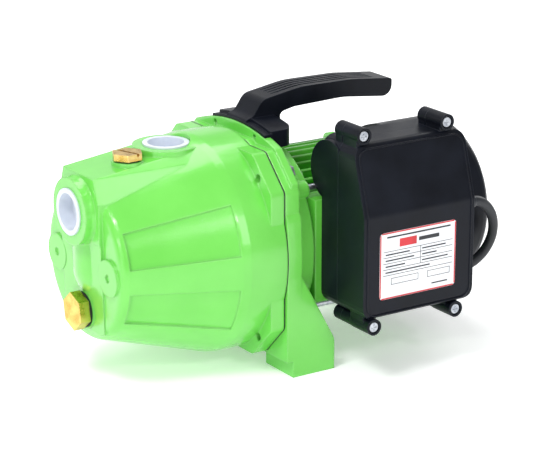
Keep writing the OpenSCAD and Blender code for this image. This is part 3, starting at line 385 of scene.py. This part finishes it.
def turned_metal(name, light, dark, rough, pitch, centre, edge_wear_and_highlight):
    """Turned metal: the finish with rings pitch metres apart round the centre point."""
    material, shader = finish(name, light, dark, rough, 0.0009, 0.00003, 0.0005, edge_wear_and_highlight=edge_wear_and_highlight,
                              patch=0.008, metal=1.0)
    place = add(material, "ShaderNodeTexCoord")
    moved = add(material, "ShaderNodeMapping", {"Vector": place.outputs["Object"],
                                                "Location": [-c for c in centre]})
    rings = add(material, "ShaderNodeTexWave", {"Vector": moved.outputs["Vector"],
                                                "Scale": wave_per_metre / pitch, "Distortion": 0.6,
                                                "Detail": 2.0},
                wave_type="RINGS", rings_direction="SPHERICAL")
    over_bump(material, shader, rings.outputs["Fac"], 0.00004, 0.5)
    return material


def centre_of(name):
    low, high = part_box(name)
    return [(a + b) / 2 for a, b in zip(low, high)]


# Free-cutting brass, filling plug
filling_brass = turned_metal("turned_brass_filling", "EBCB86", "C9A04E", (0.22, 0.36), 0.0005,
                             centre_of("filling_plug"), "F8E2A8")
dress(filling_brass, "filling_plug")
# Free-cutting brass, drain plug
drain_brass = turned_metal("turned_brass_drain", "E8CE70", "C6A244", (0.22, 0.36), 0.0005,
                           centre_of("drain_plug"), "F6E49C")
dress(drain_brass, "drain_plug")

# Nitrile rubber seals and gaskets: matt, slightly bloomed
nitrile, _ = finish("nitrile_rubber", "1E2024", "121316", (0.5, 0.7), 0.0008, 0.00008, 0.0005,
                    edge_wear_and_highlight="2E3238")
dress(nitrile, "filling_plug_seal", "drain_plug_seal", "casing_gasket", "box_gasket",
      "venturi_seal", "slinger")


# ---- Screws and bolts ----
# Zinc-plated steel, rolled threads and pressed heads, a blue-grey bloom on the plating.

# Bright zinc plate on steel
zinc_plate, _ = finish("zinc_plated_steel", "C9CDD3", "9A9FA8", (0.24, 0.42), 0.0010, 0.00005,
                       0.0004, edge_wear_and_highlight="E6E9EC", patch=0.004, metal=1.0)
dress(zinc_plate, "casing_bolts", "tie_bolts", "fan_cover_screws", "handle_screws",
      "cover_screws", "box_mounting_screws", "preload_washer", "impeller_nut")


# ---- Rating label ----
# Printed polyester film on the lid: white, a thin red frame, a generic heading block
# and ruled grey lines that carry no lettering.

# Glossy polyester film with a faint ripple
label_film, _ = finish("label_film", "F2F4F6", "E6E9ED", (0.2, 0.3), 0.004, 0.00003, 0.0002,
                       edge_wear_and_highlight="FFFFFF")
dress(label_film, "rating_label")
label_x0, label_z0, label_y = 25.0, 64.0, -125.25


def printed(name, material, bars):
    """Flat bars: each row is left, low, right, high in mm from the label's low corner."""
    row = np.array(bars, dtype=float)[:, None, :]
    pick = np.array([[0, 1], [2, 1], [2, 3], [0, 3]])
    flat = np.stack([row[:, 0, pick[:, 0]] + label_x0, row[:, 0, pick[:, 1]] + label_z0], axis=-1)
    depth = np.array([label_y - 0.05, label_y + 0.02])
    front = np.insert(flat, 1, depth[0], axis=2)
    back = np.insert(flat, 1, depth[1], axis=2)
    points = np.concatenate([front, back], axis=1).reshape(-1, 3) / 1000
    box = np.array([[0, 1, 2, 3], [7, 6, 5, 4], [0, 4, 5, 1], [1, 5, 6, 2], [2, 6, 7, 3],
                    [3, 7, 4, 0]])
    faces = (box[None] + 8 * np.arange(len(bars))[:, None, None]).reshape(-1, 4)
    mesh = bpy.data.meshes.new(name)
    mesh.from_pydata(points.tolist(), [], faces.tolist())
    mesh.materials.append(material)
    piece = bpy.data.objects.new(name, mesh)
    bpy.context.scene.collection.objects.link(piece)
    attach(piece, "frame")
    return piece


# Screen-printed red ink, slightly raised
red_ink, _ = finish("red_ink", "D8323A", "C4262E", (0.3, 0.4), 0.0008, 0.00002, 0.0002)
printed("label_frame", red_ink, [[1.6, 0.1, 65.4, 1.1], [1.6, 48.4, 65.4, 49.4],
                                 [0.1, 1.6, 1.1, 47.9], [65.9, 1.6, 66.9, 47.9],
                                 [17, 37.4, 32, 43.4]])
# Screen-printed grey ink
grey_ink, _ = finish("grey_ink", "2A2D34", "1E2126", (0.35, 0.45), 0.0008, 0.00002, 0.0002)
printed("label_rules", grey_ink, [[6, 45.2, 62, 46.4], [34, 39.2, 52, 42],
                                  [3, 35, 64, 35.4], [3, 30.6, 64, 31], [3, 26.2, 64, 26.6],
                                  [3, 21.8, 64, 22.2], [3, 17.4, 64, 17.8], [35.4, 22.2, 35.8, 35],
                                  [5, 32.4, 26, 33.4], [37, 32.4, 58, 33.4], [5, 28, 30, 29],
                                  [37, 28, 50, 29], [5, 23.6, 22, 24.6], [37, 23.6, 60, 24.6],
                                  [5, 19.2, 44, 20.2], [10, 10.2, 34, 10.6], [10, 14.7, 34, 15.1],
                                  [10, 10.6, 10.4, 14.7], [33.6, 10.6, 34, 14.7],
                                  [42, 10.2, 62, 10.6], [42, 14.7, 62, 15.1],
                                  [42, 10.6, 42.4, 14.7], [61.6, 10.6, 62, 14.7],
                                  [46, 4.4, 60, 5.4]])


# ---- Shaft and rotating parts inside ----
# Ground steel shaft and bearings, laminated core, wound stator, pressed impeller parts.

# Ground steel, fine grain
ground_steel, _ = finish("ground_steel", "C4C7CB", "A2A6AC", (0.16, 0.28), 0.0012, 0.00003, 0.0004,
                         edge_wear_and_highlight="E4E6E9", patch=0.006, metal=1.0)
dress(ground_steel, "shaft", "impeller_key", "bearing_outer_rings", "bearing_inner_rings",
      "bearing_balls", "seal_spring")


def striped(name, light, dark, rough, pitch, direction, metal):
    """The finish with stripes across it, pitch metres apart, in colour and in relief."""
    material, shader = finish(name, light, dark, rough, 0.0008, 0.00004, 0.0003, metal=metal)
    place = add(material, "ShaderNodeTexCoord")
    bands = add(material, "ShaderNodeTexWave", {"Vector": place.outputs["Object"],
                                                "Scale": wave_per_metre / pitch, "Distortion": 0.4},
                wave_type="BANDS", bands_direction=direction)
    base = shader.inputs["Base Color"].links[0].from_socket
    strip = mixed(material, bands.outputs["Fac"], linear(dark), base)
    feed(material, shader.inputs["Base Color"], strip)
    over_bump(material, shader, bands.outputs["Fac"], pitch / 4)
    return material


# Stacked, varnished electrical sheet, half a millimetre each
laminations = striped("stacked_laminations", "7D828B", "4A4E56", (0.35, 0.5), 0.0005, "X", 0.7)
dress(laminations, "rotor_core", "stator_core")
# Enamelled copper wire, wound round the slots
copper_wire = striped("enamelled_copper", "B8622C", "7A3814", (0.25, 0.4), 0.0008, "DIAGONAL", 0.8)
dress(copper_wire, "windings")
# Pale glass-filled plastic
pale_moulding, _ = finish("pale_glass_filled", "D2CFC2", "BDB9AA", (0.4, 0.55), 0.0009, 0.00008,
                          0.0005, edge_wear_and_highlight="E2E0D6")
dress(pale_moulding, "diffuser")
# Cast and polished brass impeller
impeller_brass = turned_metal("cast_brass", "D9B25E", "B08A3A", (0.28, 0.42), 0.0006,
                              centre_of("impeller"), "EFD48E")
dress(impeller_brass, "impeller")
# Lapped alumina seat
lapped_ceramic, _ = finish("lapped_ceramic", "EFEAD9", "E2DCC8", (0.12, 0.2), 0.0015, 0.00002,
                           0.0003, edge_wear_and_highlight="FAF7EC")
dress(lapped_ceramic, "seal_seat")
# Carbon graphite, grey sheen
carbon, _ = finish("carbon_graphite", "2A2C30", "1A1B1E", (0.3, 0.45), 0.0006, 0.00003, 0.0003,
                   edge_wear_and_highlight="43464C")
dress(carbon, "seal_ring")
# Melamine terminal block
melamine, _ = finish("melamine", "DAD5C3", "C8C2AE", (0.3, 0.42), 0.0009, 0.00005, 0.0004,
                     edge_wear_and_highlight="E9E5D8")
dress(melamine, "terminal_block")
# Grey plastic can with a printed-smooth skin
can_plastic, _ = finish("capacitor_can", "A6A9AE", "8F9298", (0.24, 0.34), 0.0012, 0.00003, 0.0004,
                        edge_wear_and_highlight="C2C5C9")
dress(can_plastic, "capacitor")
